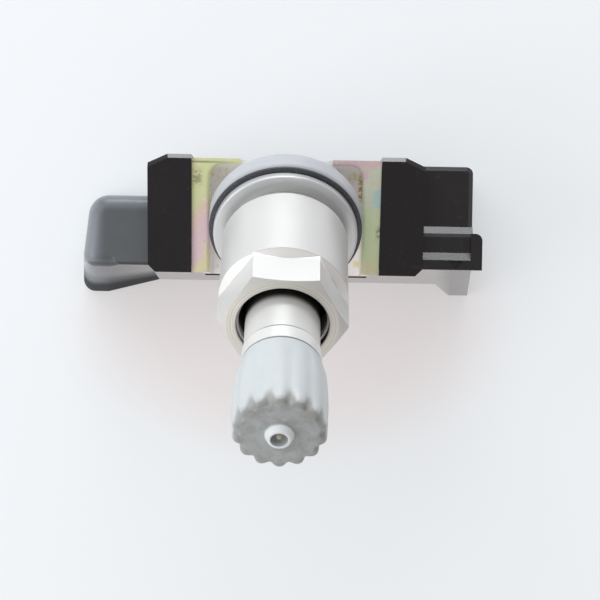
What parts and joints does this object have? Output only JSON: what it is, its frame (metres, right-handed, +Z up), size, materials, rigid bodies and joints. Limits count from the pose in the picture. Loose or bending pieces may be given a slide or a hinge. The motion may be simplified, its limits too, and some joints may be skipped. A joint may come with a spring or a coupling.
{
  "type": "tyre pressure sensor",
  "caption": "Wheel-mounted tyre pressure sensor: plastic housing with a battery bay, and a metal valve clamped in a pressed bracket, with grommet, sleeve nut and lobed dust cap.",
  "frame": {"origin": "on the flat back of the housing, in the plane of the valve's axis", "axes": "+X along the housing away from the battery bay, +Y to the flat long side, +Z up from the back towards the valve"},
  "size_m": [0.0473, 0.0329, 0.0509],
  "materials": {
    "black_plastic": "matte moulded",
    "grey_plastic": "satin moulded",
    "plated_steel": "yellow iridescent plating",
    "valve_aluminium": "fine turned",
    "nut_aluminium": "fine turned",
    "washer_steel": "bright",
    "grey_rubber": "smooth",
    "black_rubber": "smooth",
    "cap_plastic": "satin moulded",
    "core_brass": "turned",
    "spring_steel": "drawn wire",
    "screw_steel": "plated",
    "board_green": "lacquered",
    "cell_steel": "bright",
    "chip_black": "matte moulded",
    "ferrite": "sintered",
    "copper": "lacquered",
    "membrane": "fine woven"
  },
  "bodies": {
    "sensor": {"housing": "black_plastic", "battery_cover": "grey_plastic", "back_cover": "black_plastic", "mounting_bracket": "plated_steel", "valve_stem": "valve_aluminium", "grommet": "grey_rubber", "seal_ring": "black_rubber", "core_body": "core_brass", "core_seal": "black_rubber", "core_spring": "spring_steel", "stem_screw": "screw_steel", "screw_washer": "screw_steel", "circuit_board": "board_green", "battery_cell": "cell_steel", "battery_tab_top": "cell_steel", "battery_tab_bottom": "cell_steel", "pressure_sensor": "chip_black", "controller_chip": "chip_black", "timing_crystal": "cell_steel", "coil_core": "ferrite", "coil_winding": "copper", "antenna_loop": "copper", "port_filter": "membrane"},
    "washer": {"clamp_washer": "washer_steel"},
    "nut": {"sleeve_nut": "nut_aluminium"},
    "cap_disc": {"cap_seal": "black_rubber"},
    "cap": {"valve_cap": "cap_plastic"},
    "pin": {"core_pin": "core_brass", "pin_seal": "black_rubber"}
  },
  "joints": [
    {"name": "nut_lift", "type": "slide", "parent": "sensor", "child": "washer", "axis": [0, -0.6361, 0.7716], "range_m": [0, 0.005]},
    {"name": "nut_turn", "type": "hinge", "parent": "washer", "child": "nut", "pos_m": [0, 0.00063, 0.02017], "axis": [0, -0.6361, 0.7716], "range_deg": [0, 2405]},
    {"name": "cap_lift", "type": "slide", "parent": "sensor", "child": "cap_disc", "axis": [0, -0.6361, 0.7716], "range_m": [0, 0.0071]},
    {"name": "cap_turn", "type": "hinge", "parent": "cap_disc", "child": "cap", "pos_m": [0, 0.00063, 0.02017], "axis": [0, -0.6361, 0.7716], "range_deg": [0, 3240]},
    {"name": "pin_press", "type": "slide", "parent": "sensor", "child": "pin", "axis": [0, 0.6361, -0.7716], "range_m": [0, 0.0012], "stiffness_N_per_m": 300, "springref_m": -0.001, "deforming": ["core_spring"]}
  ],
  "couplings": [
    {"joint": "nut_turn", "follows": "nut_lift", "rad_per_m": 8377.6},
    {"joint": "cap_turn", "follows": "cap_lift", "rad_per_m": 7913.3}
  ]
}
